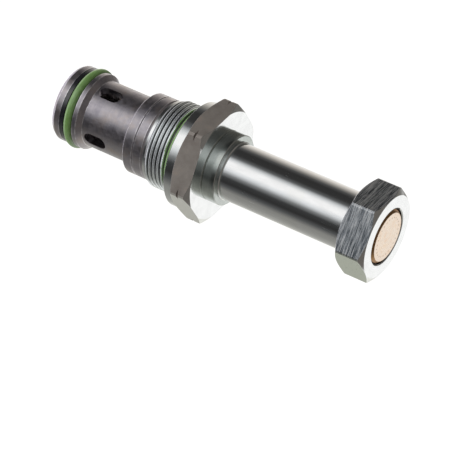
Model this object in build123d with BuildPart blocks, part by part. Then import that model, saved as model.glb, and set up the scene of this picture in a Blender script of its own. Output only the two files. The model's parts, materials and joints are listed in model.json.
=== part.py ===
from build123d import *

import os
from math import radians, tan

# Solenoid-operated two-way screw-in cartridge valve, normally closed, without its coil.
# Millimetres. The valve's axis is Z. z = 0 is the seat face of the flange, which rests on
# the valve block; the nose points to -Z, into the block, and the coil nut to +Z.

# --- Driving dimensions: adapter ---
port_thread_r = 15.0        # male thread M30 x 1.5
port_thread_pitch = 1.5
port_thread_start = -9.75
port_thread_turns = 5
hex_af = 36.0               # adapter hexagon, across flats
hex_bar_r = 20.5            # round bar that the hexagon is milled from
hex_turn = -9.5             # angle of one corner about Z, degrees
hex_face_r = 18.4           # circle that the end chamfer leaves on the tail face
flange_r = 17.9             # of the round flange that the hexagon's nose chamfer runs down to
flange_t = 3.0
flange_edge = 0.3           # its chamfer at the seat face
corner_groove_z = 7.0       # marking groove, turned into the hexagon's corners only
corner_groove_w = 0.35      # to each side, at the bar's corners
corner_groove_r = 19.7
adapter_nose = -11.3
adapter_tail = 10.6
neck_r = 13.2               # under the port O-ring
seat_inner_r = 15.6         # the seat face starts here, clear of the O-ring

# --- Driving dimensions: cage ---
nose_z = -47.3
nose_land_r = 13.0
cage_r = 11.35
body_r = 13.8
body_start = -18.9
body_groove_z = -15.1
body_end = -11.8
shank_r = 11.5
shank_tail = -1.0
window_w = 4.7
window_l = 8.3
window_z = -31.3
guide_r = 8.9               # bore that the poppet slides in
inlet_r = 7.0
seat_r = 6.2                # edge that the poppet closes on
seat_edge_z = -38.6

# --- Driving dimensions: core tube and coil nut ---
tube_r = 9.7
bore_r = 7.5                # bore that the armature slides in
collar_tail = 15.2
spacer_start = 39.3         # non-magnetic ring, brazed between the two tube halves
spacer_end = 44.8
tube_shoulder = 62.9        # where the nut's thread begins
tube_tail = 70.5
plug_face_z = 72.0
nut_af = 28.0
nut_bar_r = 15.95
nut_turn = -13.2
nut_face_r = 13.9
nut_start = 61.4
nut_end = 71.8
nut_thread_r = 9.42         # M19 x 1
nut_thread_pitch = 1.0
nut_thread_turns = 7

# --- Motion and fits ---
armature_travel = 2.5
fit = 0.02                  # gap between fixed pieces, one inside the other
slide_gap = 0.1             # gap beside a piece that slides
stop_gap = 0.1              # gap left where two moving pieces meet
thread_depth = 0.6134       # of a metric male thread, in pitches
hex_chamfer = tan(radians(30))

os.makedirs("parts", exist_ok=True)


def save(piece, label):
    """Label a finished piece and write its STEP file."""
    piece.label = label
    export_step(piece, f"parts/{label}.step")


def o_ring(label, inner_r, section_r, z):
    """A seal ring of round section."""
    with BuildPart() as ring:
        with BuildSketch(Plane.XZ):
            with Locations((inner_r + section_r, z)):
                Circle(section_r)
        revolve(axis=Axis.Z)
    save(ring.part, label)


def flat_ring(label, inner_r, outer_r, low, high):
    """A ring of rectangular section."""
    with BuildPart() as ring:
        with BuildSketch(Plane.XY.offset(low)):
            Circle(outer_r)
            Circle(inner_r, mode=Mode.SUBTRACT)
        extrude(amount=high - low)
    save(ring.part, label)


def coil_spring(label, coil_r, wire_r, low, high, turns):
    """A compression spring with both ends ground flat."""
    with BuildPart() as spring:
        with BuildLine() as wire:
            helix = Helix((high - low) / turns, high - low, coil_r, center=(0, 0, low))
        with BuildSketch(Plane(origin=helix @ 0, z_dir=helix % 0)):
            Circle(wire_r)
        sweep(path=wire.line, is_frenet=True)
        split(bisect_by=Plane.XY.offset(low + wire_r / 2), keep=Keep.TOP)
        split(bisect_by=Plane.XY.offset(high - wire_r / 2), keep=Keep.BOTTOM)
    save(spring.part, label)


def thread_outline(crest_r, pitch, start, turns):
    """The zigzag of a male thread, from its first root to its last, going towards the tail."""
    depth = thread_depth * pitch
    outline = [(crest_r - depth, start)]
    for turn in range(turns):
        z = start + turn * pitch
        outline.append((crest_r - depth, z + 0.06 * pitch))
        outline.append((crest_r, z + 0.43 * pitch))
        outline.append((crest_r, z + 0.57 * pitch))
        outline.append((crest_r - depth, z + 0.94 * pitch))
    outline.append((crest_r - depth, start + turns * pitch))
    return outline


def hex_bar_outline(bar_r, low_r, high_r, low, high):
    """Half section of a turned bar, chamfered down to the radii low_r and high_r at its ends."""
    low_drop = (bar_r - low_r) * hex_chamfer
    high_drop = (bar_r - high_r) * hex_chamfer
    nose_side = [(0, low), (low_r, low), (bar_r, low + low_drop)]
    return nose_side + [(bar_r, high - high_drop), (high_r, high), (0, high)]


# --- Cage: the long nose with four windows, the body behind it and the shank in the adapter ---
groove_low = -44.2
groove_high = -39.4
groove_root = 10.9
seat_pocket_z = -41.0
guide_pocket_r = 9.7
guide_pocket_z = -4.2
shank_groove_z = -7.0
shank_groove_w = 2.0
shank_groove_root = 9.95

with BuildPart() as nose_cage:
    with BuildSketch(Plane.XZ):
        with BuildLine():
            Polyline(
                (inlet_r, nose_z + 0.6),
                (inlet_r + 0.6, nose_z),
                (nose_land_r - 0.6, nose_z),
                (nose_land_r, nose_z + 1.0),
                (nose_land_r, groove_low),
                (groove_root, groove_low),
                (groove_root, groove_high),
                (nose_land_r, groove_high),
                (nose_land_r, groove_high + 1.5),
                (cage_r, groove_high + 3.15),
                (cage_r, body_start),
                (body_r - 0.4, body_start),
                (body_r, body_start + 0.4),
                (body_r, body_groove_z - 0.25),
                (body_r - 0.3, body_groove_z),
                (body_r, body_groove_z + 0.25),
                (body_r, body_end),
                (body_r - 0.5, adapter_nose),
                (shank_r, adapter_nose),
                (shank_r, shank_groove_z - shank_groove_w / 2),
                (shank_groove_root, shank_groove_z - shank_groove_w / 2),
                (shank_groove_root, shank_groove_z + shank_groove_w / 2),
                (shank_r, shank_groove_z + shank_groove_w / 2),
                (shank_r, shank_tail),
                (guide_pocket_r, shank_tail),
                (guide_pocket_r, guide_pocket_z),
                (guide_r, guide_pocket_z),
                (guide_r, seat_pocket_z),
                (inlet_r, seat_pocket_z),
                close=True,
            )
        make_face()
    revolve(axis=Axis.Z)
    for window_plane in (Plane.XZ, Plane.YZ):
        with BuildSketch(window_plane):
            with Locations((0, window_z)):
                SlotOverall(window_l, window_w, rotation=90)
        extrude(amount=body_r, both=True, mode=Mode.SUBTRACT)
save(nose_cage.part, "nose_cage")

# --- Nose seals: a rigid backup ring and an O-ring in one groove ---
backup_t = 1.4
flat_ring("nose_backup_ring", groove_root + fit, nose_land_r - 0.1, groove_low + fit, groove_low + backup_t)
o_ring("nose_o_ring", groove_root + fit, 1.45, -41.1)
o_ring("cage_seal_ring", shank_groove_root + fit, 0.75, shank_groove_z)

# --- Seat ring: hardened ring pressed into the cage ---
seat_tail = seat_edge_z + 0.7
with BuildPart() as seat_ring:
    with BuildSketch(Plane.XZ):
        with BuildLine():
            Polyline(
                (seat_r, seat_pocket_z + fit),
                (guide_r - fit, seat_pocket_z + fit),
                (guide_r - fit, seat_tail),
                (seat_r + 0.7, seat_tail),
                (seat_r, seat_edge_z),
                close=True,
            )
        make_face()
    revolve(axis=Axis.Z)
save(seat_ring.part, "seat_ring")

# --- Main poppet: 45 degree nose on the seat ring, waist at the windows, hollow guide behind ---
poppet_r = guide_r - slide_gap
poppet_nose_r = 4.6
poppet_cone_r = 7.0
cone_offset = 0.14          # keeps the 45 degree cone 0.1 mm clear of its seat
poppet_tail = -14.0
pilot_pocket_z = -26.0
spring_pocket_z = -22.0
ring_groove_z = -20.5
ring_groove_w = 2.0
ring_groove_root = 7.9
cone_end_z = seat_edge_z + poppet_cone_r - seat_r + cone_offset

with BuildPart() as main_poppet:
    with BuildSketch(Plane.XZ):
        with BuildLine():
            Polyline(
                (0.8, cone_end_z - poppet_cone_r + poppet_nose_r),
                (poppet_nose_r, cone_end_z - poppet_cone_r + poppet_nose_r),
                (poppet_cone_r, cone_end_z),
                (poppet_cone_r, cone_end_z + 0.6),
                (seat_r, cone_end_z + 1.4),
                (seat_r, -26.8),
                (poppet_r, -24.2),
                (poppet_r, ring_groove_z),
                (ring_groove_root, ring_groove_z),
                (ring_groove_root, ring_groove_z + ring_groove_w),
                (poppet_r, ring_groove_z + ring_groove_w),
                (poppet_r, poppet_tail - 0.4),
                (poppet_r - 0.4, poppet_tail),
                (6.4, poppet_tail),
                (6.4, spring_pocket_z),
                (2.5, spring_pocket_z),
                (2.5, pilot_pocket_z),
                (0.8, pilot_pocket_z),
                close=True,
            )
        make_face()
    revolve(axis=Axis.Z)
save(main_poppet.part, "main_poppet")

flat_ring(
    "poppet_seal_ring",
    ring_groove_root + fit,
    guide_r - 0.05,
    ring_groove_z + 0.1,
    ring_groove_z + ring_groove_w - 0.1,
)

# --- Pilot seat: small hardened insert that the needle closes ---
pilot_hole_r = 0.6
pilot_edge_z = spring_pocket_z - 0.8
with BuildPart() as pilot_seat:
    with BuildSketch(Plane.XZ):
        with BuildLine():
            Polyline(
                (pilot_hole_r, pilot_pocket_z + fit),
                (2.5 - fit, pilot_pocket_z + fit),
                (2.5 - fit, spring_pocket_z),
                (pilot_hole_r + 0.8, spring_pocket_z),
                (pilot_hole_r, pilot_edge_z),
                close=True,
            )
        make_face()
    revolve(axis=Axis.Z)
save(pilot_seat.part, "pilot_seat")

# --- Needle guide: perforated disc in the shank, which also backs the main spring ---
needle_r = 1.5
guide_disc_t = 2.0
guide_disc_tail = guide_pocket_z + guide_disc_t
with BuildPart() as needle_guide:
    with BuildSketch(Plane.XY.offset(guide_pocket_z + fit)):
        Circle(guide_pocket_r - fit)
    extrude(amount=guide_disc_t - fit)
    with BuildSketch(Plane.XY.offset(guide_pocket_z - 2.8)):
        Circle(3.2)
    extrude(amount=3.0)
    with PolarLocations(5.0, 4, start_angle=45):
        Hole(0.9)
    Hole(needle_r + slide_gap)
save(needle_guide.part, "needle_guide")

# --- Snap ring that keeps the needle guide in its pocket ---
with BuildPart() as guide_snap_ring:
    with BuildSketch(Plane.XY.offset(guide_disc_tail + fit)):
        Circle(guide_pocket_r - fit)
        Circle(8.4, mode=Mode.SUBTRACT)
        with Locations((9.0, 0)):
            Rectangle(4.0, 3.0, mode=Mode.SUBTRACT)
    extrude(amount=1.0)
save(guide_snap_ring.part, "guide_snap_ring")

# --- Springs ---
coil_spring("main_spring", 5.3, 0.6, spring_pocket_z, guide_pocket_z, 6)
armature_pocket_z = 30.0
core_pocket_z = 54.0
coil_spring("armature_spring", 2.2, 0.35, armature_pocket_z, core_pocket_z, 12)

# --- Adapter: male thread, neck for the port O-ring, round flange, hexagon with grooved corners ---
thread_root_r = port_thread_r - thread_depth * port_thread_pitch
port_thread_end = port_thread_start + port_thread_turns * port_thread_pitch - 0.1
tube_socket_r = 10.42
tube_socket_z = 0.5
with BuildPart() as adapter_body:
    with BuildSketch(Plane.XY.offset(flange_t)):
        RegularPolygon(hex_af / 2, 6, major_radius=False, rotation=hex_turn)
    extrude(amount=adapter_tail - flange_t)
    with BuildSketch(Plane.XZ):
        with BuildLine():
            Polyline(*hex_bar_outline(hex_bar_r, flange_r, hex_face_r, flange_t, adapter_tail), close=True)
        make_face()
    revolve(axis=Axis.Z, mode=Mode.INTERSECT)
    with BuildSketch(Plane.XZ):
        with BuildLine():
            Polyline(
                (corner_groove_r, corner_groove_z),
                (hex_bar_r, corner_groove_z - corner_groove_w),
                (hex_bar_r, corner_groove_z + corner_groove_w),
                close=True,
            )
        make_face()
    revolve(axis=Axis.Z, mode=Mode.SUBTRACT)
    with BuildSketch(Plane.XZ):
        with BuildLine():
            Polyline(
                (0, adapter_nose),
                (thread_root_r - 0.5, adapter_nose),
                *thread_outline(port_thread_r, port_thread_pitch, port_thread_start, port_thread_turns)[:-2],
                (thread_root_r, port_thread_end),
                (neck_r, port_thread_end),
                (neck_r, 0.15),
                (seat_inner_r, 0.15),
                (seat_inner_r, 0),
                (flange_r - flange_edge, 0),
                (flange_r, flange_edge),
                (flange_r, flange_t),
                (0, flange_t),
                close=True,
            )
        make_face()
    revolve(axis=Axis.Z)
    with BuildSketch(Plane.XZ):
        with BuildLine():
            Polyline(
                (0, adapter_nose),
                (shank_r + fit, adapter_nose),
                (shank_r + fit, shank_tail + 0.1),
                (bore_r + 0.3, shank_tail + 0.1),
                (bore_r + 0.3, tube_socket_z),
                (tube_socket_r, tube_socket_z),
                (tube_socket_r, adapter_tail),
                (0, adapter_tail),
                close=True,
            )
        make_face()
    revolve(axis=Axis.Z, mode=Mode.SUBTRACT)
save(adapter_body.part, "adapter_body")

o_ring("port_o_ring", neck_r + fit, 0.9, -1.25)

# --- Core tube, lower half: magnetic steel, fixed in the adapter ---
tube_groove_z = 3.0
tube_groove_root = 8.87
with BuildPart() as tube_lower:
    with BuildSketch(Plane.XZ):
        with BuildLine():
            Polyline(
                (bore_r, tube_socket_z + fit),
                (tube_socket_r - fit, tube_socket_z + fit),
                (tube_socket_r - fit, tube_groove_z - 1.0),
                (tube_groove_root, tube_groove_z - 1.0),
                (tube_groove_root, tube_groove_z + 1.0),
                (tube_socket_r - fit, tube_groove_z + 1.0),
                (tube_socket_r - fit, adapter_tail),
                (tube_r, adapter_tail),
                (tube_r, collar_tail + fit),
                (tube_r + 0.3, collar_tail + fit),
                (tube_r + 0.3, collar_tail + 0.35),
                (tube_r, collar_tail + 0.65),
                (tube_r, spacer_start),
                (bore_r, spacer_start),
                close=True,
            )
        make_face()
    revolve(axis=Axis.Z)
save(tube_lower.part, "tube_lower")

o_ring("tube_seal_ring", tube_groove_root + fit, 0.75, tube_groove_z)

# --- Collar at the foot of the tube ---
collar_r = 12.0
with BuildPart() as tube_collar:
    with BuildSketch(Plane.XZ):
        with BuildLine():
            Polyline(
                (tube_r + fit, adapter_tail),
                (collar_r - 0.4, adapter_tail),
                (collar_r, adapter_tail + 0.4),
                (collar_r, collar_tail - 0.2),
                (collar_r - 0.2, collar_tail),
                (tube_r + fit, collar_tail),
                close=True,
            )
        make_face()
    revolve(axis=Axis.Z)
save(tube_collar.part, "tube_collar")

# --- Core tube: non-magnetic ring and upper half with the nut's thread ---
flat_ring("tube_spacer_ring", bore_r, tube_r, spacer_start, spacer_end)

nut_thread_start = tube_shoulder + 0.4
with BuildPart() as tube_upper:
    with BuildSketch(Plane.XZ):
        with BuildLine():
            Polyline(
                (bore_r, spacer_end),
                (tube_r, spacer_end),
                (tube_r, tube_shoulder - 0.3),
                (tube_r - 0.3, tube_shoulder),
                (nut_thread_r - thread_depth * nut_thread_pitch, tube_shoulder),
                *thread_outline(nut_thread_r, nut_thread_pitch, nut_thread_start, nut_thread_turns),
                (nut_thread_r - thread_depth * nut_thread_pitch, tube_tail),
                (bore_r, tube_tail),
                close=True,
            )
        make_face()
    revolve(axis=Axis.Z)
save(tube_upper.part, "tube_upper")

# --- Fixed pole core, with a pocket for the armature's spring and a groove for its seal ---
armature_tail = 39.7
shim_t = 0.3
shim_start = armature_tail + armature_travel + stop_gap
core_start = shim_start + shim_t
plug_stud_start = 67.4
pocket_r = 3.0
core_groove_z = 60.0
core_groove_root = 5.95
with BuildPart() as pole_core:
    with BuildSketch(Plane.XZ):
        with BuildLine():
            Polyline(
                (0, core_pocket_z),
                (pocket_r, core_pocket_z),
                (pocket_r, core_start),
                (bore_r - fit - 0.4, core_start),
                (bore_r - fit, core_start + 0.4),
                (bore_r - fit, core_groove_z - 1.0),
                (core_groove_root, core_groove_z - 1.0),
                (core_groove_root, core_groove_z + 1.0),
                (bore_r - fit, core_groove_z + 1.0),
                (bore_r - fit, plug_stud_start),
                (0, plug_stud_start),
                close=True,
            )
        make_face()
    revolve(axis=Axis.Z)
save(pole_core.part, "pole_core")

flat_ring("core_shim", pocket_r, 6.8, shim_start, core_start)
o_ring("core_seal_ring", core_groove_root + fit, 0.74, core_groove_z)

# --- End plug: closes the tube, with a bevelled head ---
plug_face_r = 8.2
plug_head_r = 9.05
with BuildPart() as end_plug:
    with BuildSketch(Plane.XZ):
        with BuildLine():
            Polyline(
                (0, plug_stud_start + fit),
                (bore_r - fit - 0.4, plug_stud_start + fit),
                (bore_r - fit, plug_stud_start + fit + 0.4),
                (bore_r - fit, tube_tail + fit),
                (plug_head_r, tube_tail + fit),
                (plug_head_r, plug_face_z - plug_head_r + plug_face_r),
                (plug_face_r, plug_face_z),
                (0, plug_face_z),
                close=True,
            )
        make_face()
    revolve(axis=Axis.Z)
save(end_plug.part, "end_plug")

# --- Armature: slides in the tube, with two oil grooves, a spring pocket and the needle's bore ---
armature_r = bore_r - slide_gap
armature_start = 6.0
needle_bore_end = 20.0
cross_pin_z = 14.0
cross_pin_r = 0.6
glide_groove_z = 35.0
glide_groove_w = 2.0
glide_groove_root = 6.4
with BuildPart() as armature:
    with BuildSketch(Plane.XZ):
        with BuildLine():
            Polyline(
                (needle_r + fit, armature_start),
                (armature_r - 0.5, armature_start),
                (armature_r, armature_start + 0.5),
                (armature_r, glide_groove_z),
                (glide_groove_root, glide_groove_z),
                (glide_groove_root, glide_groove_z + glide_groove_w),
                (armature_r, glide_groove_z + glide_groove_w),
                (armature_r, armature_tail - 0.3),
                (armature_r - 0.3, armature_tail),
                (pocket_r, armature_tail),
                (pocket_r, armature_pocket_z),
                (0, armature_pocket_z),
                (0, needle_bore_end),
                (needle_r + fit, needle_bore_end),
                close=True,
            )
        make_face()
    revolve(axis=Axis.Z)
    with BuildSketch(Plane.XY.offset(armature_start)):
        with Locations((0, armature_r), (0, -armature_r)):
            Rectangle(1.8, 2.4)
    extrude(amount=armature_tail - armature_start, mode=Mode.SUBTRACT)
    with BuildSketch(Plane.YZ):
        with Locations((0, cross_pin_z)):
            Circle(cross_pin_r + fit)
    extrude(amount=tube_r, both=True, mode=Mode.SUBTRACT)
save(armature.part, "armature")

# --- Glide ring: split, so that it snaps into the armature's groove ---
with BuildPart() as armature_glide_ring:
    with BuildSketch(Plane.XY.offset(glide_groove_z + 0.05)):
        Circle(bore_r - 0.05)
        Circle(glide_groove_root + fit, mode=Mode.SUBTRACT)
        with Locations((7.0, 0)):
            Rectangle(3.0, 0.6, mode=Mode.SUBTRACT)
    extrude(amount=glide_groove_w - 0.1)
save(armature_glide_ring.part, "armature_glide_ring")

# --- Pilot needle and the pin that holds it in the armature ---
needle_tip_r = 0.3
needle_tip_z = pilot_edge_z - 0.15
with BuildPart() as pilot_needle:
    with BuildSketch(Plane.XZ):
        with BuildLine():
            Polyline(
                (0, needle_tip_z),
                (needle_tip_r, needle_tip_z),
                (needle_r, needle_tip_z + needle_r - needle_tip_r),
                (needle_r, needle_bore_end - 0.2),
                (0, needle_bore_end - 0.2),
                close=True,
            )
        make_face()
    revolve(axis=Axis.Z)
    with BuildSketch(Plane.YZ):
        with Locations((0, cross_pin_z)):
            Circle(cross_pin_r + fit)
    extrude(amount=tube_r, both=True, mode=Mode.SUBTRACT)
save(pilot_needle.part, "pilot_needle")

with BuildPart() as needle_pin:
    with BuildSketch(Plane.YZ):
        with Locations((0, cross_pin_z)):
            Circle(cross_pin_r)
    extrude(amount=armature_r - 0.5, both=True)
save(needle_pin.part, "needle_pin")

# --- Coil nut, with a recess for its seal in the face towards the coil ---
nut_recess_r = 11.55
nut_recess_z = nut_start + 1.6
nut_bore_r = nut_thread_r + 0.06
with BuildPart() as coil_nut:
    with BuildSketch(Plane.XY.offset(nut_start)):
        RegularPolygon(nut_af / 2, 6, major_radius=False, rotation=nut_turn)
    extrude(amount=nut_end - nut_start)
    with BuildSketch(Plane.XZ):
        with BuildLine():
            Polyline(*hex_bar_outline(nut_bar_r, nut_face_r, nut_face_r, nut_start, nut_end), close=True)
        make_face()
    revolve(axis=Axis.Z, mode=Mode.INTERSECT)
    with BuildSketch(Plane.XZ):
        with BuildLine():
            Polyline(
                (0, nut_start),
                (nut_recess_r, nut_start),
                (nut_recess_r, nut_recess_z),
                (nut_bore_r, nut_recess_z),
                (nut_bore_r, nut_end),
                (0, nut_end),
                close=True,
            )
        make_face()
    revolve(axis=Axis.Z, mode=Mode.SUBTRACT)
save(coil_nut.part, "coil_nut")

o_ring("nut_o_ring", tube_r + slide_gap, 0.8, nut_start + 0.7)
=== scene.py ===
import json
import math

import bmesh
import bpy
from mathutils import Matrix, Vector


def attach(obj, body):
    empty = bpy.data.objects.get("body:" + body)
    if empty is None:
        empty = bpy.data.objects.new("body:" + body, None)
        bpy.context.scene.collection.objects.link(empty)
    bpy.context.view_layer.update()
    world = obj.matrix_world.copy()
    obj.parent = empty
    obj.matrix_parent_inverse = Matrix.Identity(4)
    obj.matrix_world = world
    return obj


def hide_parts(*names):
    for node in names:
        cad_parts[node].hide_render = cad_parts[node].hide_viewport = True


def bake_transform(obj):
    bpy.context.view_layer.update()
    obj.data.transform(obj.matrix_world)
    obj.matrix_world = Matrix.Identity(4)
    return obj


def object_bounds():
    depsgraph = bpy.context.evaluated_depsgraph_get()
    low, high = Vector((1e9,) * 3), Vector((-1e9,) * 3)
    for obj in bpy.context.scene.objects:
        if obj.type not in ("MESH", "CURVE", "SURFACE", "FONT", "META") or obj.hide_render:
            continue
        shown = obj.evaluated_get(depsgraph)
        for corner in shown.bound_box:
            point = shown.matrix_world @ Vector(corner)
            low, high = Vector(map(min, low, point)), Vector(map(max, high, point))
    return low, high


# Looks of the cartridge valve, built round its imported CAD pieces. The valve's axis is Z, with the
# nose towards -Z. The camera and the floor are in metres. The finishes and the detailed pieces are in
# millimetres on the same axis, and MM turns those into metres.

MM = 0.001

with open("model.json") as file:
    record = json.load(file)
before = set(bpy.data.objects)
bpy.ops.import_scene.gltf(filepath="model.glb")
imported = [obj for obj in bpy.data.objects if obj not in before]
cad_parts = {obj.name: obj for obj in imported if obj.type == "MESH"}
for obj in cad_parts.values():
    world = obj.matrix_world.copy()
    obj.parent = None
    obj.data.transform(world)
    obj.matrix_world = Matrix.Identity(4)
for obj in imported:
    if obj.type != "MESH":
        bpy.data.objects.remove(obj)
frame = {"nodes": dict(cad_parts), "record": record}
cad_low, cad_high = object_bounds()


# --- Node helpers ---

class Nodes:
    """Short calls that build one node tree, a material's or the world's."""

    def __init__(self, tree):
        self.tree = tree
        self.tree.nodes.clear()

    def add(self, kind, inputs=(), **settings):
        """A new node, with its settings, and its inputs linked or set by name or number."""
        node = self.tree.nodes.new(kind)
        for name, value in settings.items():
            setattr(node, name, value)
        for key, value in dict(inputs).items():
            self.feed(node, key, value)
        return node

    def feed(self, node, key, value):
        """Links a socket to one of the node's inputs, or sets a plain value on it."""
        if isinstance(value, bpy.types.NodeSocket):
            self.tree.links.new(value, node.inputs[key])
        else:
            node.inputs[key].default_value = value

    def math(self, operation, *values):
        """The result of one operation on sockets or plain numbers."""
        node = self.add("ShaderNodeMath", dict(enumerate(values)), operation=operation)
        return node.outputs[0]

    def scaled(self, vector, factors):
        """The vector with each part multiplied."""
        node = self.add("ShaderNodeVectorMath", {0: vector, 1: factors}, operation="MULTIPLY")
        return node.outputs[0]

    def length(self, x, y):
        """The length of a flat vector, from its two parts."""
        flat = self.add("ShaderNodeCombineXYZ", {0: x, 1: y})
        return self.add("ShaderNodeVectorMath", {0: flat.outputs[0]}, operation="LENGTH").outputs[1]

    def noise(self, vector, scale=1.0, detail=2.0, roughness=0.5):
        """Noise in grains about 1 / scale across."""
        inputs = {"Vector": vector, "Scale": scale, "Detail": detail, "Roughness": roughness}
        return self.add("ShaderNodeTexNoise", inputs).outputs["Fac"]

    def span(self, value, low, high, to_low=0.0, to_high=1.0):
        """The value mapped from low..high to to_low..to_high, smoothly and clamped."""
        inputs = {0: value, 1: low, 2: high, 3: to_low, 4: to_high}
        node = self.add("ShaderNodeMapRange", inputs, interpolation_type="SMOOTHSTEP", clamp=True)
        return node.outputs[0]

    def ramp(self, factor, stops):
        """A colour ramp; stops are (place, colour) pairs."""
        node = self.add("ShaderNodeValToRGB", {0: factor})
        elements = node.color_ramp.elements
        while len(elements) < len(stops):
            elements.new(0.5)
        for element, (place, colour) in zip(elements, stops):
            element.position = place
            element.color = (*colour, 1)
        return node.outputs["Color"]

    def mix(self, factor, first, second):
        """Two colours mixed: the first where the factor is 0, and the second where it is 1."""
        node = self.add("ShaderNodeMix", data_type="RGBA")
        self.feed(node, 0, factor)
        self.feed(node, 6, first if isinstance(first, bpy.types.NodeSocket) else (*first, 1))
        self.feed(node, 7, second if isinstance(second, bpy.types.NodeSocket) else (*second, 1))
        return node.outputs[2]

    def bump(self, height, distance, strength=1.0, normal=None):
        """A normal bent by a height from 0 to 1, which stands for 0 to the distance in metres."""
        inputs = {"Height": height, "Distance": distance, "Strength": strength}
        if normal is not None:
            inputs["Normal"] = normal
        return self.add("ShaderNodeBump", inputs).outputs["Normal"]


SIDE_FADE = (0.80, 0.95)    # cosine of a flat's angle from the wanted side: others, and that side


class Finish(Nodes):
    """One material: a Principled shader, and coordinates in millimetres on the valve."""

    def __init__(self, name, **constants):
        self.material = bpy.data.materials.new(name)
        self.material.use_nodes = True
        super().__init__(self.material.node_tree)
        self.shader = self.add("ShaderNodeBsdfPrincipled", constants)
        self.add("ShaderNodeOutputMaterial", {"Surface": self.shader.outputs[0]})
        place = self.add("ShaderNodeTexCoord").outputs["Object"]
        self.place = self.scaled(place, (1 / MM, 1 / MM, 1 / MM))
        parts = self.add("ShaderNodeSeparateXYZ", {0: self.place})
        self.x, self.y, self.z = parts.outputs
        self.radius = self.length(self.x, self.y)
        self.rings = self.add("ShaderNodeCombineXYZ", {0: self.radius, 2: self.z}).outputs[0]

    def shade(self, **sockets):
        """Feeds the shader: shade(Base_Color=..., Roughness=..., Normal=...)."""
        for name, value in sockets.items():
            self.feed(self.shader, name.replace("_", " "), value)
        return self.material

    def band(self, z, half_width):
        """1 at a height on the axis, in millimetres, fading to 0 at half_width from it."""
        away = self.math("ABSOLUTE", self.math("SUBTRACT", self.z, z))
        return self.span(away, half_width, 0.0)

    def edges(self, heights, half_width):
        """1 along the turned edges at the given heights: a painted highlight mask, broken up by noise."""
        lines = [self.band(z, half_width) for z in heights]
        total = lines[0]
        for line in lines[1:]:
            total = self.math("MAXIMUM", total, line)
        highlight_breakup = self.span(self.noise(self.place, 0.9, 3), 0.35, 0.6, 0.25, 1.0)
        return self.math("MULTIPLY", total, highlight_breakup)

    def side(self, angle):
        """1 on the flat that faces this angle round the axis, in degrees, and 0 on the others."""
        facing = self.add("ShaderNodeTexCoord").outputs["Normal"]
        towards = (math.cos(math.radians(angle)), math.sin(math.radians(angle)), 0)
        dot = self.add("ShaderNodeVectorMath", {0: facing, 1: towards}, operation="DOT_PRODUCT")
        return self.span(dot.outputs[1], *SIDE_FADE)

    def turned_lines(self, per_mm):
        """Noise that is the same all round the axis, as a lathe leaves it."""
        return self.noise(self.rings, per_mm, roughness=0.6)


# --- Camera ---

VIEW_AZIMUTH = math.radians(-55.16)     # from +X towards +Y
VIEW_ELEVATION = math.radians(23.93)
VIEW_ROLL = math.radians(113.88)        # the valve lies on its side in the picture
VIEW_DISTANCE = 0.832
AIM_RIGHT = -0.0005                     # of the picture's middle from the valve's, across the picture
AIM_UP = -0.0183                        # and up it
LENS = 208.75                           # millimetres, as is the sensor
SENSOR = 36


def make_camera():
    """A long lens beside the valve and a little above it, rolled so that the valve lies down."""
    towards = Vector((      # from the valve to the camera
        math.cos(VIEW_ELEVATION) * math.cos(VIEW_AZIMUTH),
        math.cos(VIEW_ELEVATION) * math.sin(VIEW_AZIMUTH),
        math.sin(VIEW_ELEVATION),
    ))
    level_right = Vector((0, 0, 1)).cross(towards).normalized()
    level_up = towards.cross(level_right)
    right = math.cos(VIEW_ROLL) * level_right + math.sin(VIEW_ROLL) * level_up
    up = -math.sin(VIEW_ROLL) * level_right + math.cos(VIEW_ROLL) * level_up
    middle = (cad_low + cad_high) / 2
    data = bpy.data.cameras.new("camera")
    data.lens = LENS
    data.sensor_width = SENSOR
    data.clip_start = 0.01
    data.clip_end = 10
    camera = bpy.data.objects.new("camera", data)
    turn = Matrix((right, up, towards)).transposed().to_4x4()
    place = middle + AIM_RIGHT * right + AIM_UP * up + VIEW_DISTANCE * towards
    camera.matrix_world = Matrix.Translation(place) @ turn
    bpy.context.scene.collection.objects.link(camera)
    bpy.context.scene.camera = camera


# --- Studio: a soft box, white cards and dark cards round the valve, as a world shader ---

PLAIN = (1.0, 1.0, 1.0)
WARM = (1.0, 0.95, 0.88)
COOL = (0.95, 0.98, 1.0)
OLIVE = (1.0, 1.0, 0.94)

# (azimuth in degrees, light level, tint) round the valve: below it, level with it, and above it
LOW_CARDS = (
    (-180, 0.50, WARM), (-168, 0.26, WARM), (-155, 0.08, PLAIN), (-140, 0.030, PLAIN), (-115, 0.034, PLAIN),
    (-101, 0.12, COOL), (-89, 0.66, COOL), (-78, 0.97, PLAIN), (-60, 1.0, PLAIN), (-46, 0.78, COOL),
    (-31, 0.22, COOL), (-18, 0.045, COOL), (2, 0.028, PLAIN), (18, 0.09, COOL), (38, 0.24, OLIVE),
    (64, 0.29, OLIVE), (90, 0.42, OLIVE), (114, 0.68, OLIVE), (138, 0.92, PLAIN), (162, 0.80, WARM),
    (180, 0.50, WARM),
)
MIDDLE_CARDS = (
    (-180, 0.25, WARM), (-150, 0.12, PLAIN), (-110, 0.10, PLAIN), (-85, 0.60, COOL), (-55, 0.75, COOL),
    (-30, 0.25, COOL), (0, 0.08, PLAIN), (40, 0.25, OLIVE), (80, 0.50, OLIVE), (108, 0.85, OLIVE),
    (125, 0.70, PLAIN), (143, 0.22, WARM), (180, 0.25, WARM),
)
HIGH_CARDS = (
    (-180, 0.10, WARM), (-155, 0.08, PLAIN), (-125, 0.08, PLAIN), (-100, 0.18, COOL), (-80, 0.60, COOL),
    (-55, 0.70, COOL), (-32, 0.22, COOL), (0, 0.07, COOL), (35, 0.22, OLIVE), (70, 0.45, OLIVE),
    (90, 0.85, PLAIN), (100, 1.0, PLAIN), (144, 1.0, PLAIN), (152, 0.16, WARM), (180, 0.10, WARM),
)
BELOW = (0.95, 0.93, 1.0)
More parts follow.
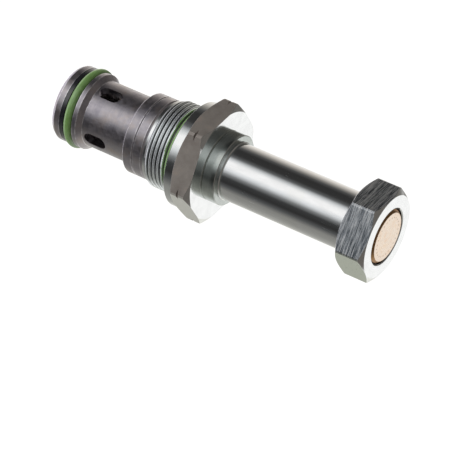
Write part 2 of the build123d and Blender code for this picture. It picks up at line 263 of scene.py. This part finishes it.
ABOVE = (0.13, 0.12, 0.11)

# Where one row fades into the next: from and to, as the sine of the angle above level
LOW_TO_MIDDLE = (-0.28, -0.12)
MIDDLE_TO_HIGH = (0.16, 0.30)
LOW_TO_BELOW = (-0.6, -0.9)
HIGH_TO_ABOVE = (0.50, 0.66)


def make_world():
    """The cards light the valve and are reflected in it. The camera sees plain white behind it."""
    world = bpy.data.worlds.new("studio")
    bpy.context.scene.world = world
    world.use_nodes = True
    nodes = Nodes(world.node_tree)
    direction = nodes.add("ShaderNodeTexCoord").outputs["Generated"]
    parts = nodes.add("ShaderNodeSeparateXYZ", {0: direction})
    x, y, z = parts.outputs
    turn = nodes.math("MULTIPLY_ADD", nodes.math("ARCTAN2", y, x), 0.5 / math.pi, 0.5)

    def cards(levels):
        """A row of cards as one ramp round the valve."""
        stops = [(azimuth / 360 + 0.5, [level * part for part in tint]) for azimuth, level, tint in levels]
        return nodes.ramp(turn, stops)

    light = nodes.mix(nodes.span(z, *LOW_TO_MIDDLE), cards(LOW_CARDS), cards(MIDDLE_CARDS))
    light = nodes.mix(nodes.span(z, *MIDDLE_TO_HIGH), light, cards(HIGH_CARDS))
    light = nodes.mix(nodes.span(z, *LOW_TO_BELOW), light, BELOW)
    light = nodes.mix(nodes.span(z, *HIGH_TO_ABOVE), light, ABOVE)
    lit = nodes.add("ShaderNodeBackground", {"Color": light, "Strength": 1.0})
    seen = nodes.add("ShaderNodeBackground", {"Color": (1, 1, 1, 1), "Strength": 1.0})
    camera_ray = nodes.add("ShaderNodeLightPath").outputs["Is Camera Ray"]
    both = nodes.add("ShaderNodeMixShader", {0: camera_ray, 1: lit.outputs[0], 2: seen.outputs[0]})
    nodes.add("ShaderNodeOutputWorld", {"Surface": both.outputs[0]})


FLOOR_SIZE = 6.0
FLOOR_GAP = 0.2 * MM
FLOOR_GLOW = 0.92


def make_floor():
    """A pale floor under the nose. Its own glow keeps the shadow on it faint."""
    half = FLOOR_SIZE / 2
    mesh = bpy.data.meshes.new("floor")
    corners = [(-half, -half, 0), (half, -half, 0), (half, half, 0), (-half, half, 0)]
    mesh.from_pydata(corners, [], [(0, 1, 2, 3)])
    floor = bpy.data.objects.new("floor", mesh)
    floor.location.z = cad_low.z - FLOOR_GAP
    floor.visible_glossy = False
    bpy.context.scene.collection.objects.link(floor)
    finish = Finish("floor_paper", Roughness=0.9)
    grain = finish.noise(finish.place, 0.4, 3)
    tone = finish.ramp(grain, [(0.3, (0.80, 0.80, 0.79)), (0.7, (0.83, 0.83, 0.82))])
    finish.shade(Base_Color=tone, Emission_Color=(1, 1, 1, 1), Emission_Strength=FLOOR_GLOW)
    mesh.materials.append(finish.material)


# --- Finishes ---

# Heights of turned edges, which get a painted highlight
CAGE_HIGHLIGHT_EDGES = (-47.2, -46.3, -44.3, -39.3, -37.9, -36.25, -18.8, -18.5, -15.4, -14.8, -11.9)
COLLAR_HIGHLIGHT_EDGES = (11.0, 15.05)
RUST_BAND = (-14.5, 3.5)    # middle and half width of the cage's stretch with orange-brown specks

# Where a corner of each hexagon stands, in degrees. The flat half a side further on is the one whose
# look differs from the others: a painted highlight makes it lighter.
ADAPTER_TURN = -9.5
NUT_TURN = -13.2
HALF_SIDE = 30


def dark_steel():
    """Turned steel with a satin violet-grey heat tint under oil, and a painted highlight along its edges.
    """
    violet, grey, brown = (0.35, 0.32, 0.37), (0.45, 0.415, 0.45), (0.50, 0.415, 0.385)
    pale, turned, scuffed = (0.62, 0.56, 0.57), (0.58, 0.54, 0.56), (0.80, 0.76, 0.79)
    highlight_tone, rust = (1.0, 0.97, 1.0), (0.42, 0.24, 0.15)
    depth = 0.02 * MM
    oil = {"Coat Weight": 0.7, "Coat Roughness": 0.22, "Coat IOR": 1.9}
    f = Finish("dark_steel", Metallic=1.0, **oil)
    tone = f.ramp(f.noise(f.place, 0.16, 5, 0.6), [(0.36, violet), (0.50, grey), (0.66, brown)])
    blotches = f.span(f.noise(f.place, 0.45, 6, 0.75), 0.42, 0.62, 0.0, 0.28)
    tone = f.mix(blotches, tone, pale)
    lines = f.turned_lines(4.0)
    tone = f.mix(f.span(lines, 0.35, 0.65, 0.0, 0.30), tone, turned)
    specks = f.span(f.noise(f.place, 2.6, 3, 0.7), 0.62, 0.70, 0.0, 0.5)
    tone = f.mix(f.math("MULTIPLY", specks, f.band(*RUST_BAND)), tone, rust)
    scuffs = f.span(f.noise(f.scaled(f.place, (1.0, 1.0, 0.5)), 1.1, 5, 0.7), 0.60, 0.72, 0.0, 0.35)
    tone = f.mix(scuffs, tone, scuffed)
    # Painted highlight along the turned edges, broken up by noise
    tone = f.mix(f.edges(CAGE_HIGHLIGHT_EDGES, 0.24), tone, highlight_tone)
    rough = f.span(f.noise(f.place, 0.8, 4), 0.3, 0.7, 0.30, 0.44)
    grain = f.bump(f.noise(f.place, 6.0, 3), depth, 0.4)
    return f.shade(Base_Color=tone, Roughness=rough, Normal=f.bump(lines, depth, 0.5, grain))


def rubber(name, tone, pale, rough=(0.28, 0.42)):
    """Moulded rubber, with a faint bloom and a fine skin."""
    film = {"Coat Weight": 0.5, "Coat Roughness": 0.15, "Coat IOR": 2.1}
    f = Finish(name, Metallic=0.0, **film)
    bloom = f.noise(f.place, 0.5, 4)
    dullness = f.span(f.noise(f.place, 2.0, 3), 0.3, 0.7, *rough)
    skin = f.bump(f.noise(f.place, 9.0, 2), 0.01 * MM, 0.4)
    mixed = f.ramp(bloom, [(0.35, tone), (0.7, pale)])
    return f.shade(Base_Color=mixed, Roughness=dullness, Normal=skin)


def steel(name, tone, dull, rough, lines_per_mm=6.0, line_depth=0.01, edges=()):
    """Bare or plated steel with lathe lines, and a painted highlight along the edges named by their z."""
    f = Finish(name, Metallic=1.0)
    lines = f.turned_lines(lines_per_mm)
    patches = f.noise(f.place, 0.35, 4)
    mixed = f.ramp(patches, [(0.35, tone), (0.7, dull)])
    if edges:
        # Painted highlight along the named edges
        mixed = f.mix(f.edges(edges, 0.14), mixed, (0.95, 0.96, 0.95))
    dullness = f.span(lines, 0.3, 0.7, *rough)
    return f.shade(Base_Color=mixed, Roughness=dullness, Normal=f.bump(lines, line_depth * MM, 0.6))


def polished_steel(name, tone):
    """Polished tube steel, with fine handling scratches and faint smears."""
    f = Finish(name, Metallic=1.0)
    smears = f.noise(f.scaled(f.place, (0.5, 0.5, 0.16)), 1.0, 4, 0.6)
    tint = f.ramp(smears, [(0.35, tone), (0.7, [0.94 * part for part in tone])])
    long_cuts = f.noise(f.scaled(f.place, (2.6, 2.6, 0.35)), 1.3, 4, 0.75)
    round_cuts = f.noise(f.scaled(f.place, (0.4, 0.4, 5.0)), 1.1, 4, 0.75)
    area = f.span(f.noise(f.place, 0.09, 3), 0.44, 0.60)
    cuts = f.math("MAXIMUM", f.span(long_cuts, 0.63, 0.70), f.span(round_cuts, 0.65, 0.72))
    cuts = f.math("MULTIPLY", cuts, area)
    rough = f.math("MULTIPLY_ADD", cuts, 0.30, f.span(smears, 0.3, 0.7, 0.09, 0.14))
    lines = f.turned_lines(3.0)
    height = f.math("MULTIPLY_ADD", lines, 0.2, f.math("MULTIPLY", long_cuts, 0.5))
    return f.shade(Base_Color=tint, Roughness=rough, Normal=f.bump(height, 0.006 * MM, 0.6))


def milled_flats():
    """Zinc plate over cold-drawn hexagon flats: dull and brownish with fine specks; one flat has a painted
    highlight.
    """
    dark, brown, tan = (0.29, 0.255, 0.23), (0.35, 0.315, 0.285), (0.41, 0.345, 0.30)
    bare, painted_lit = (0.62, 0.60, 0.57), (0.80, 0.80, 0.74)
    f = Finish("zinc_flats", Metallic=0.62)
    tone = f.ramp(f.noise(f.place, 0.18, 5, 0.6), [(0.35, dark), (0.55, brown), (0.72, tan)])
    specks = f.span(f.noise(f.place, 3.2, 3, 0.7), 0.60, 0.72, 0.0, 0.45)
    tone = f.mix(specks, tone, bare)
    # Painted highlight: the one flat is given a much lighter colour
    tone = f.mix(f.side(ADAPTER_TURN + HALF_SIDE), tone, painted_lit)
    drawn = f.noise(f.scaled(f.place, (3.0, 3.0, 0.25)), 1.0, 3, 0.6)
    rough = f.span(drawn, 0.35, 0.65, 0.40, 0.52)
    return f.shade(Base_Color=tone, Roughness=rough, Normal=f.bump(drawn, 0.01 * MM, 0.5))


def thread_steel(name, tone, crest_r, root_r):
    """A thread: lighter on its rounded crests, with painted shade down its flanks into the roots, which are
    rougher.
    """
    root_shade = (0.20, 0.20, 0.19)
    depth = crest_r - root_r
    f = Finish(name, Metallic=1.0)
    painted_lit = f.span(f.radius, root_r + 0.10 * depth, root_r + 0.75 * depth)
    patches = f.span(f.noise(f.place, 0.7, 3), 0.3, 0.7, 0.82, 1.0)
    # Painted shade: dark towards the thread's roots, lighter on its crests
    mixed = f.mix(f.math("MULTIPLY", painted_lit, patches), root_shade, tone)
    rough = f.span(painted_lit, 0.0, 1.0, 0.42, 0.24)
    skin = f.bump(f.noise(f.place, 1.5, 2), 0.001 * MM, 0.4)
    return f.shade(Base_Color=mixed, Roughness=rough, Normal=skin)


def brushed_flats():
    """Zinc plate over the nut's flats: brushed across the axis, but one flat plain with pits and a painted
    highlight.
    """
    groove, plate, crest = (0.13, 0.15, 0.17), (0.56, 0.59, 0.63), (1.0, 1.0, 1.0)
    lit_plain_flat, pit = (0.95, 1.0, 0.89), (0.44, 0.52, 0.40)
    f = Finish("nut_flats", Metallic=1.0)
    broad = f.noise(f.scaled(f.place, (0.08, 0.08, 2.2)), 1.0, 5, 0.75)
    fine = f.noise(f.scaled(f.place, (0.25, 0.25, 11.0)), 1.0, 4, 0.7)
    streaks = f.math("MULTIPLY_ADD", fine, 0.5, f.math("MULTIPLY", broad, 0.5))
    brushed = f.ramp(streaks, [(0.435, groove), (0.49, plate), (0.545, crest)])
    pits = f.span(f.noise(f.place, 1.5, 3, 0.7), 0.60, 0.70, 0.0, 0.7)
    side = f.side(NUT_TURN + HALF_SIDE)
    # Painted highlight: the one flat is lighter; its pits are its own
    tone = f.mix(side, brushed, f.mix(pits, lit_plain_flat, pit))
    rough = f.math("MAXIMUM", f.span(streaks, 0.44, 0.56, 0.16, 0.40), f.math("MULTIPLY", side, 0.34))
    strength = f.span(side, 0.0, 1.0, 1.0, 0.12)
    return f.shade(Base_Color=tone, Roughness=rough, Normal=f.bump(streaks, 0.05 * MM, strength))


PLUG_MARKS = 26         # plain punch marks in a ring
PLUG_MARK_RING_R = 6.6
PLUG_MARK_GAP = math.tau * PLUG_MARK_RING_R / PLUG_MARKS
PLUG_MARK_FADE = (0.34, 0.14)       # from a mark's middle: its edge, and where it is full
PLUG_BEVEL = (8.05, 8.25)           # the radius where the face ends and the bevel starts


def copper_plate():
    """Copper plate with faint tool rings and a ring of punch marks, browner on its bevel."""
    peach, pale, orange = (1.0, 0.80, 0.61), (1.0, 0.86, 0.72), (0.97, 0.74, 0.55)
    brown, punched = (0.48, 0.27, 0.12), (0.30, 0.20, 0.14)
    f = Finish("copper_plate", Metallic=1.0)
    tone = f.ramp(f.noise(f.place, 0.35, 4), [(0.35, peach), (0.5, pale), (0.7, orange)])
    tone = f.mix(f.span(f.radius, *PLUG_BEVEL), tone, brown)
    turn = f.math("MULTIPLY", f.math("ARCTAN2", f.y, f.x), PLUG_MARKS / math.tau)
    along = f.math("MULTIPLY", f.math("SUBTRACT", f.math("FRACT", turn), 0.5), PLUG_MARK_GAP)
    across = f.math("SUBTRACT", f.radius, PLUG_MARK_RING_R)
    marks = f.span(f.length(along, across), *PLUG_MARK_FADE, 0.0, 0.75)
    tone = f.mix(marks, tone, punched)
    lines = f.turned_lines(5.0)
    rough = f.span(lines, 0.3, 0.7, 0.24, 0.36)
    return f.shade(Base_Color=tone, Roughness=rough, Normal=f.bump(lines, 0.012 * MM, 0.6))


def finishes():
    """The material of each of the record's slots."""
    green, pale_green = (0.165, 0.325, 0.078), (0.215, 0.39, 0.12)
    black, pale_black = (0.008, 0.008, 0.008), (0.014, 0.014, 0.014)
    plastic, pale_plastic = (0.010, 0.010, 0.013), (0.016, 0.016, 0.02)
    ptfe, pale_ptfe = (0.25, 0.14, 0.07), (0.32, 0.2, 0.1)
    hard, dull_hard = (0.42, 0.41, 0.41), (0.34, 0.33, 0.33)
    spring, dull_spring = (0.5, 0.5, 0.52), (0.4, 0.4, 0.42)
    zinc, dull_zinc = (0.93, 0.94, 0.93), (0.86, 0.87, 0.86)
    collar, dull_collar = (0.56, 0.59, 0.56), (0.46, 0.49, 0.46)
    core, dull_core = (0.55, 0.55, 0.56), (0.45, 0.45, 0.46)
    brass, dull_brass = (0.75, 0.58, 0.28), (0.65, 0.48, 0.22)
    nut, dull_nut = (0.94, 0.95, 0.94), (0.88, 0.89, 0.88)
    turned = (0.25, 0.35)
    fine_lines = {"lines_per_mm": 3.0, "line_depth": 0.004}
    return {
        "dark_steel": dark_steel(),
        "green_rubber": rubber("green_rubber", green, pale_green, (0.14, 0.24)),
        "black_rubber": rubber("black_rubber", black, pale_black),
        "black_ring": rubber("black_ring", plastic, pale_plastic, (0.12, 0.2)),
        "hard_steel": steel("hard_steel", hard, dull_hard, (0.22, 0.32)),
        "slide_ring": rubber("slide_ring", ptfe, pale_ptfe),
        "spring_steel": steel("spring_steel", spring, dull_spring, turned),
        "zinc_plate": steel("zinc_plate", zinc, dull_zinc, (0.08, 0.16), **fine_lines),
        "tube_steel": polished_steel("tube_steel", (0.93, 0.93, 0.93)),
        "collar_steel": steel("collar_steel", collar, dull_collar, (0.13, 0.22), edges=COLLAR_HIGHLIGHT_EDGES),
        "spacer_steel": polished_steel("spacer_steel", (0.92, 0.92, 0.91)),
        "core_steel": steel("core_steel", core, dull_core, turned),
        "shim_brass": steel("shim_brass", brass, dull_brass, turned),
        "copper_plate": copper_plate(),
        "nut_steel": steel("nut_steel", nut, dull_nut, (0.10, 0.20), **fine_lines),
    }


def paint_frame(materials):
    """Gives each CAD node the finish that the record names for it."""
    for subpart in frame["record"]["subparts"]:
        node = frame["nodes"][subpart["node"]]
        node.data.materials.clear()
        node.data.materials.append(materials[subpart["material_slot"]])


# --- Detailed pieces, in place of CAD nodes: true helical threads, rounded edges, copied springs ---

CHAMFER = math.tan(math.radians(30))
COLUMNS_PER_FLAT = 36
ROUND_COLUMNS = 150
WELD = 0.0005               # vertices this close become one
SLIVER = 0.0002             # edges this short are taken out
SHARP = math.radians(25)
FLATS = 1                   # in a piece with a bevel, the number of the bands that have it at their edges
EDGE_BEVEL = 0.1

# A thread's outline: (place in the pitch, height as a part of the depth)
MALE_PROFILE = (
    (0.0, 0), (0.06, 0), (0.20, 0.52), (0.28, 0.79), (0.34, 0.91), (0.42, 0.98), (0.50, 1), (0.58, 0.98),
    (0.66, 0.91), (0.72, 0.79), (0.80, 0.52), (0.94, 0),
)
FEMALE_PROFILE = ((0.10, 1), (0.40, 0), (0.60, 0), (0.90, 1))


# A piece's surface runs through rows of rings. A ring is a function of the angle round the axis,
# which gives the radius and the height there.

def lathe(*points):
    """Rings that are the same all round, from their (radius, height)."""
    return [lambda angle, point=point: point for point in points]


def hexagon(flat_r, bar_r, turn):
    """The outline of a hexagon cut from a round bar, as the radius at an angle."""
    def radius(angle):
        off = (angle - turn) % (math.pi / 3) - math.pi / 6
        return min(flat_r / math.cos(off), bar_r)
    return radius


def hexagon_angles(flat_r, bar_r, turn):
    """Column angles for a hexagon, with columns on its corners and on both edges of each flat."""
    edge = math.acos(flat_r / bar_r)
    steps = range(COLUMNS_PER_FLAT + 1)
    offsets = [-math.pi / 6] + [edge * (2 * step / COLUMNS_PER_FLAT - 1) for step in steps]
    angles = [turn + math.pi / 3 * side + math.pi / 6 + offset for side in range(6) for offset in offsets]
    return angles + [angles[0] + math.tau]


def round_angles():
    """Column angles for a round piece."""
    return [math.tau * step / ROUND_COLUMNS for step in range(ROUND_COLUMNS + 1)]


def thread(profile, base, pitch, low, high, root_r, depth):
    """Rings that climb one pitch a turn, to the right hand, and fade into plain rings at low and high."""
    start, run_out = 0.7 * pitch, 0.5 * pitch
    spare_turns = 3

    def climbing(z, height):
        def place(angle):
            here = min(max(z + pitch * angle / math.tau, low), high)
            lead = min(1, (here - low) / start, (high - here) / run_out)
            return root_r + depth * height * lead, here
        return place

    first = math.floor((low - base) / pitch) - spare_turns
    last = math.ceil((high - base) / pitch) + spare_turns
    points = [(turn + at, height) for turn in range(first, last) for at, height in profile]
    return [climbing(base + turns * pitch, height) for turns, height in points]


def turned_piece(name, node, body, angles, bands, materials, bevel=0):
    """A piece in place of a CAD node, made of bands: (the number of the material, the rings)."""
    mesh = bmesh.new()
    for number, rings in bands:
        grid = []
        for place in rings:
            spots = [(place(angle), angle) for angle in angles]
            points = [(r * math.cos(angle), r * math.sin(angle), z) for (r, z), angle in spots]
            grid.append([mesh.verts.new(Vector(point) * MM) for point in points])
        for low, high in zip(grid, grid[1:]):
            for k in range(len(angles) - 1):
                face = mesh.faces.new((low[k], low[k + 1], high[k + 1], high[k]))
                face.material_index = number
    bmesh.ops.remove_doubles(mesh, verts=mesh.verts, dist=WELD * MM)
    bmesh.ops.dissolve_degenerate(mesh, edges=mesh.edges, dist=SLIVER * MM)
    bmesh.ops.recalc_face_normals(mesh, faces=mesh.faces)
    for face in mesh.faces:
        face.smooth = True
    weights = mesh.edges.layers.float.new("bevel_weight_edge")
    for edge in mesh.edges:
        edge.smooth = not (edge.is_manifold and edge.calc_face_angle() > SHARP)
        on_flat = any(face.material_index == FLATS for face in edge.link_faces)
        edge[weights] = float(on_flat and not edge.smooth)
    data = bpy.data.meshes.new(name)
    mesh.to_mesh(data)
    mesh.free()
    for material in materials:
        data.materials.append(material)
    piece = bpy.data.objects.new(name, data)
    bpy.context.scene.collection.objects.link(piece)
    if bevel:
        modifier = piece.modifiers.new("edges", "BEVEL")
        modifier.width = bevel * MM
        modifier.segments = 2
        modifier.limit_method = "WEIGHT"
        modifier.harden_normals = True
    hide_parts(node)
    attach(piece, body)


def adapter(materials, flats):
    """The adapter: M30 x 1.5 thread, flange, and a hexagon with a marking groove in its corners."""
    nose_z, nose_bevel_z, seat_z, flange_bevel_z, hexagon_z, tail_z = -11.3, -10.7, 0, 0.3, 3.0, 10.6
    pitch, low, high, crest_r, root_r = 1.5, -9.75, -2.35, 15.0, 14.08
    nose_r, neck_r, seat_r, seat_relief_z = root_r - 0.5, 13.2, 15.6, 0.15
    flange_r, flange_face_r = 17.9, 17.6
    flat_r, bar_r, face_r = 18.0, 20.5, 18.4
    groove_r, groove_z, groove_slope = 19.7, 7.0, 0.35 / 0.8
    cage_bore_r, cage_bore_end, oil_bore_r, tube_bore_r, tube_bore_end = 11.52, -0.9, 7.8, 10.42, 0.5
    turn = math.radians(ADAPTER_TURN)
    outer = hexagon(flat_r, bar_r, turn)

    def nose_edge(angle):
        return outer(angle), hexagon_z + (outer(angle) - flange_r) * CHAMFER

    def tail_edge(angle):
        return outer(angle), tail_z - max(0, outer(angle) - face_r) * CHAMFER

    def face_edge(angle):
        return min(outer(angle), face_r), tail_z

    def groove(side):
        def place(angle):
            cut = max(0, outer(angle) - groove_r)
            return outer(angle) - (0 if side else cut), groove_z + side * cut * groove_slope
        return place

    shank = lathe((cage_bore_r, nose_z), (nose_r, nose_z), (root_r, nose_bevel_z), (root_r, low))
    male = thread(MALE_PROFILE, low, pitch, low, high, root_r, crest_r - root_r)
    neck = lathe((root_r, high), (neck_r, high), (neck_r, seat_relief_z), (seat_r, seat_relief_z))
    seat = lathe((seat_r, seat_relief_z), (seat_r, seat_z), (flange_face_r, seat_z))
    rim = lathe((flange_face_r, seat_z), (flange_r, flange_bevel_z), (flange_r, hexagon_z)) + [nose_edge]
    sides = [nose_edge, groove(-1), groove(0), groove(1), tail_edge]
    face = [tail_edge, face_edge] + lathe((tube_bore_r, tail_z), (tube_bore_r, tube_bore_end))
    bore = lathe((tube_bore_r, tube_bore_end), (oil_bore_r, tube_bore_end), (oil_bore_r, cage_bore_end))
    socket = lathe((oil_bore_r, cage_bore_end), (cage_bore_r, cage_bore_end), (cage_bore_r, nose_z))
    bands = [
        (0, shank), (2, male), (0, neck), (0, seat), (0, rim), (FLATS, sides), (0, face), (0, bore),
        (0, socket),
    ]
    angles = hexagon_angles(flat_r, bar_r, turn)
    crests = thread_steel("zinc_thread", (0.93, 0.97, 0.97), crest_r, root_r)
    finish = (materials["zinc_plate"], flats, crests)
    name = "adapter_threaded"
    turned_piece(name, "adapter_body", "valve_body", angles, bands, finish, EDGE_BEVEL)


TUBE_THREAD = 63.3          # a root of the tube's thread at angle 0, and of the nut's, which meets it
TUBE_THREAD_PITCH = 1.0


def threaded_tube(materials):
    """The core tube's upper half, with the M19 x 1 thread that the coil nut runs on."""
    foot_z, shoulder_z, relief_z, end_z = 44.8, 62.6, 62.9, 70.5
    bore_r, tube_r, relief_r = 7.5, 9.7, 9.4
    low, high, crest_r, root_r = TUBE_THREAD, 70.3, 9.42, 8.81
    depth = crest_r - root_r
    tube = lathe((bore_r, foot_z), (tube_r, foot_z), (tube_r, shoulder_z), (relief_r, relief_z))
    relief = lathe((relief_r, relief_z), (root_r, relief_z), (root_r, low))
    male = thread(MALE_PROFILE, TUBE_THREAD, TUBE_THREAD_PITCH, low, high, root_r, depth)
    end = lathe((root_r, high), (root_r, end_z), (bore_r, end_z), (bore_r, foot_z))
    bands = [(0, tube), (0, relief), (1, male), (0, end)]
    finish = (materials["tube_steel"], thread_steel("tube_thread", (0.85, 0.85, 0.85), crest_r, root_r))
    turned_piece("tube_threaded", "tube_upper", "valve_body", round_angles(), bands, finish)


def threaded_nut(materials, flats):
    """The coil nut: hexagon chamfered at both ends, seal recess, M19 x 1 thread, countersunk mouth."""
    flat_r, bar_r, face_r = 14.0, 15.95, 13.9
    low_z, high_z = 61.4, 71.8
    bore_r, depth, thread_low, thread_high = 9.5, 0.38, TUBE_THREAD, 70.2
    recess_r, recess_z = 11.55, 63.0
    mouth_r, mouth_z = bore_r + 0.25, high_z - 0.35
    turn = math.radians(NUT_TURN)
    outer = hexagon(flat_r, bar_r, turn)

    def low_edge(angle):
        return outer(angle), low_z + (outer(angle) - face_r) * CHAMFER

    def high_edge(angle):
        return outer(angle), high_z - (outer(angle) - face_r) * CHAMFER

    coil_side = lathe((recess_r, low_z), (face_r, low_z)) + [low_edge]
    sides = [low_edge, high_edge]
    face = [high_edge] + lathe((face_r, high_z), (mouth_r, high_z), (bore_r, mouth_z))
    mouth = lathe((bore_r, mouth_z), (bore_r, thread_high))
    female = thread(FEMALE_PROFILE, TUBE_THREAD, TUBE_THREAD_PITCH, thread_low, thread_high, bore_r, -depth)
    recess = lathe((bore_r, thread_low), (bore_r, recess_z), (recess_r, recess_z), (recess_r, low_z))
    bands = [(0, coil_side), (FLATS, sides), (0, face), (0, mouth), (0, female[::-1]), (0, recess)]
    angles = hexagon_angles(flat_r, bar_r, turn)
    finish = (materials["nut_steel"], flats)
    turned_piece("nut_threaded", "coil_nut", "nut", angles, bands, finish, EDGE_BEVEL)


def working_spring(name, node):
    """A copy of the CAD coil in place of its CAD node, with its placement baked into the mesh."""
    coil = frame["nodes"][node]
    piece = bpy.data.objects.new(name, coil.data.copy())
    piece.matrix_world = coil.matrix_world
    bpy.context.scene.collection.objects.link(piece)
    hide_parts(node)
    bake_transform(piece)


make_camera()
make_world()
make_floor()
slots = finishes()
paint_frame(slots)
adapter(slots, milled_flats())
threaded_tube(slots)
threaded_nut(slots, brushed_flats())
working_spring("main_spring_coil", "main_spring")
working_spring("armature_spring_coil", "armature_spring")
bpy.context.scene.view_settings.view_transform = "Standard"
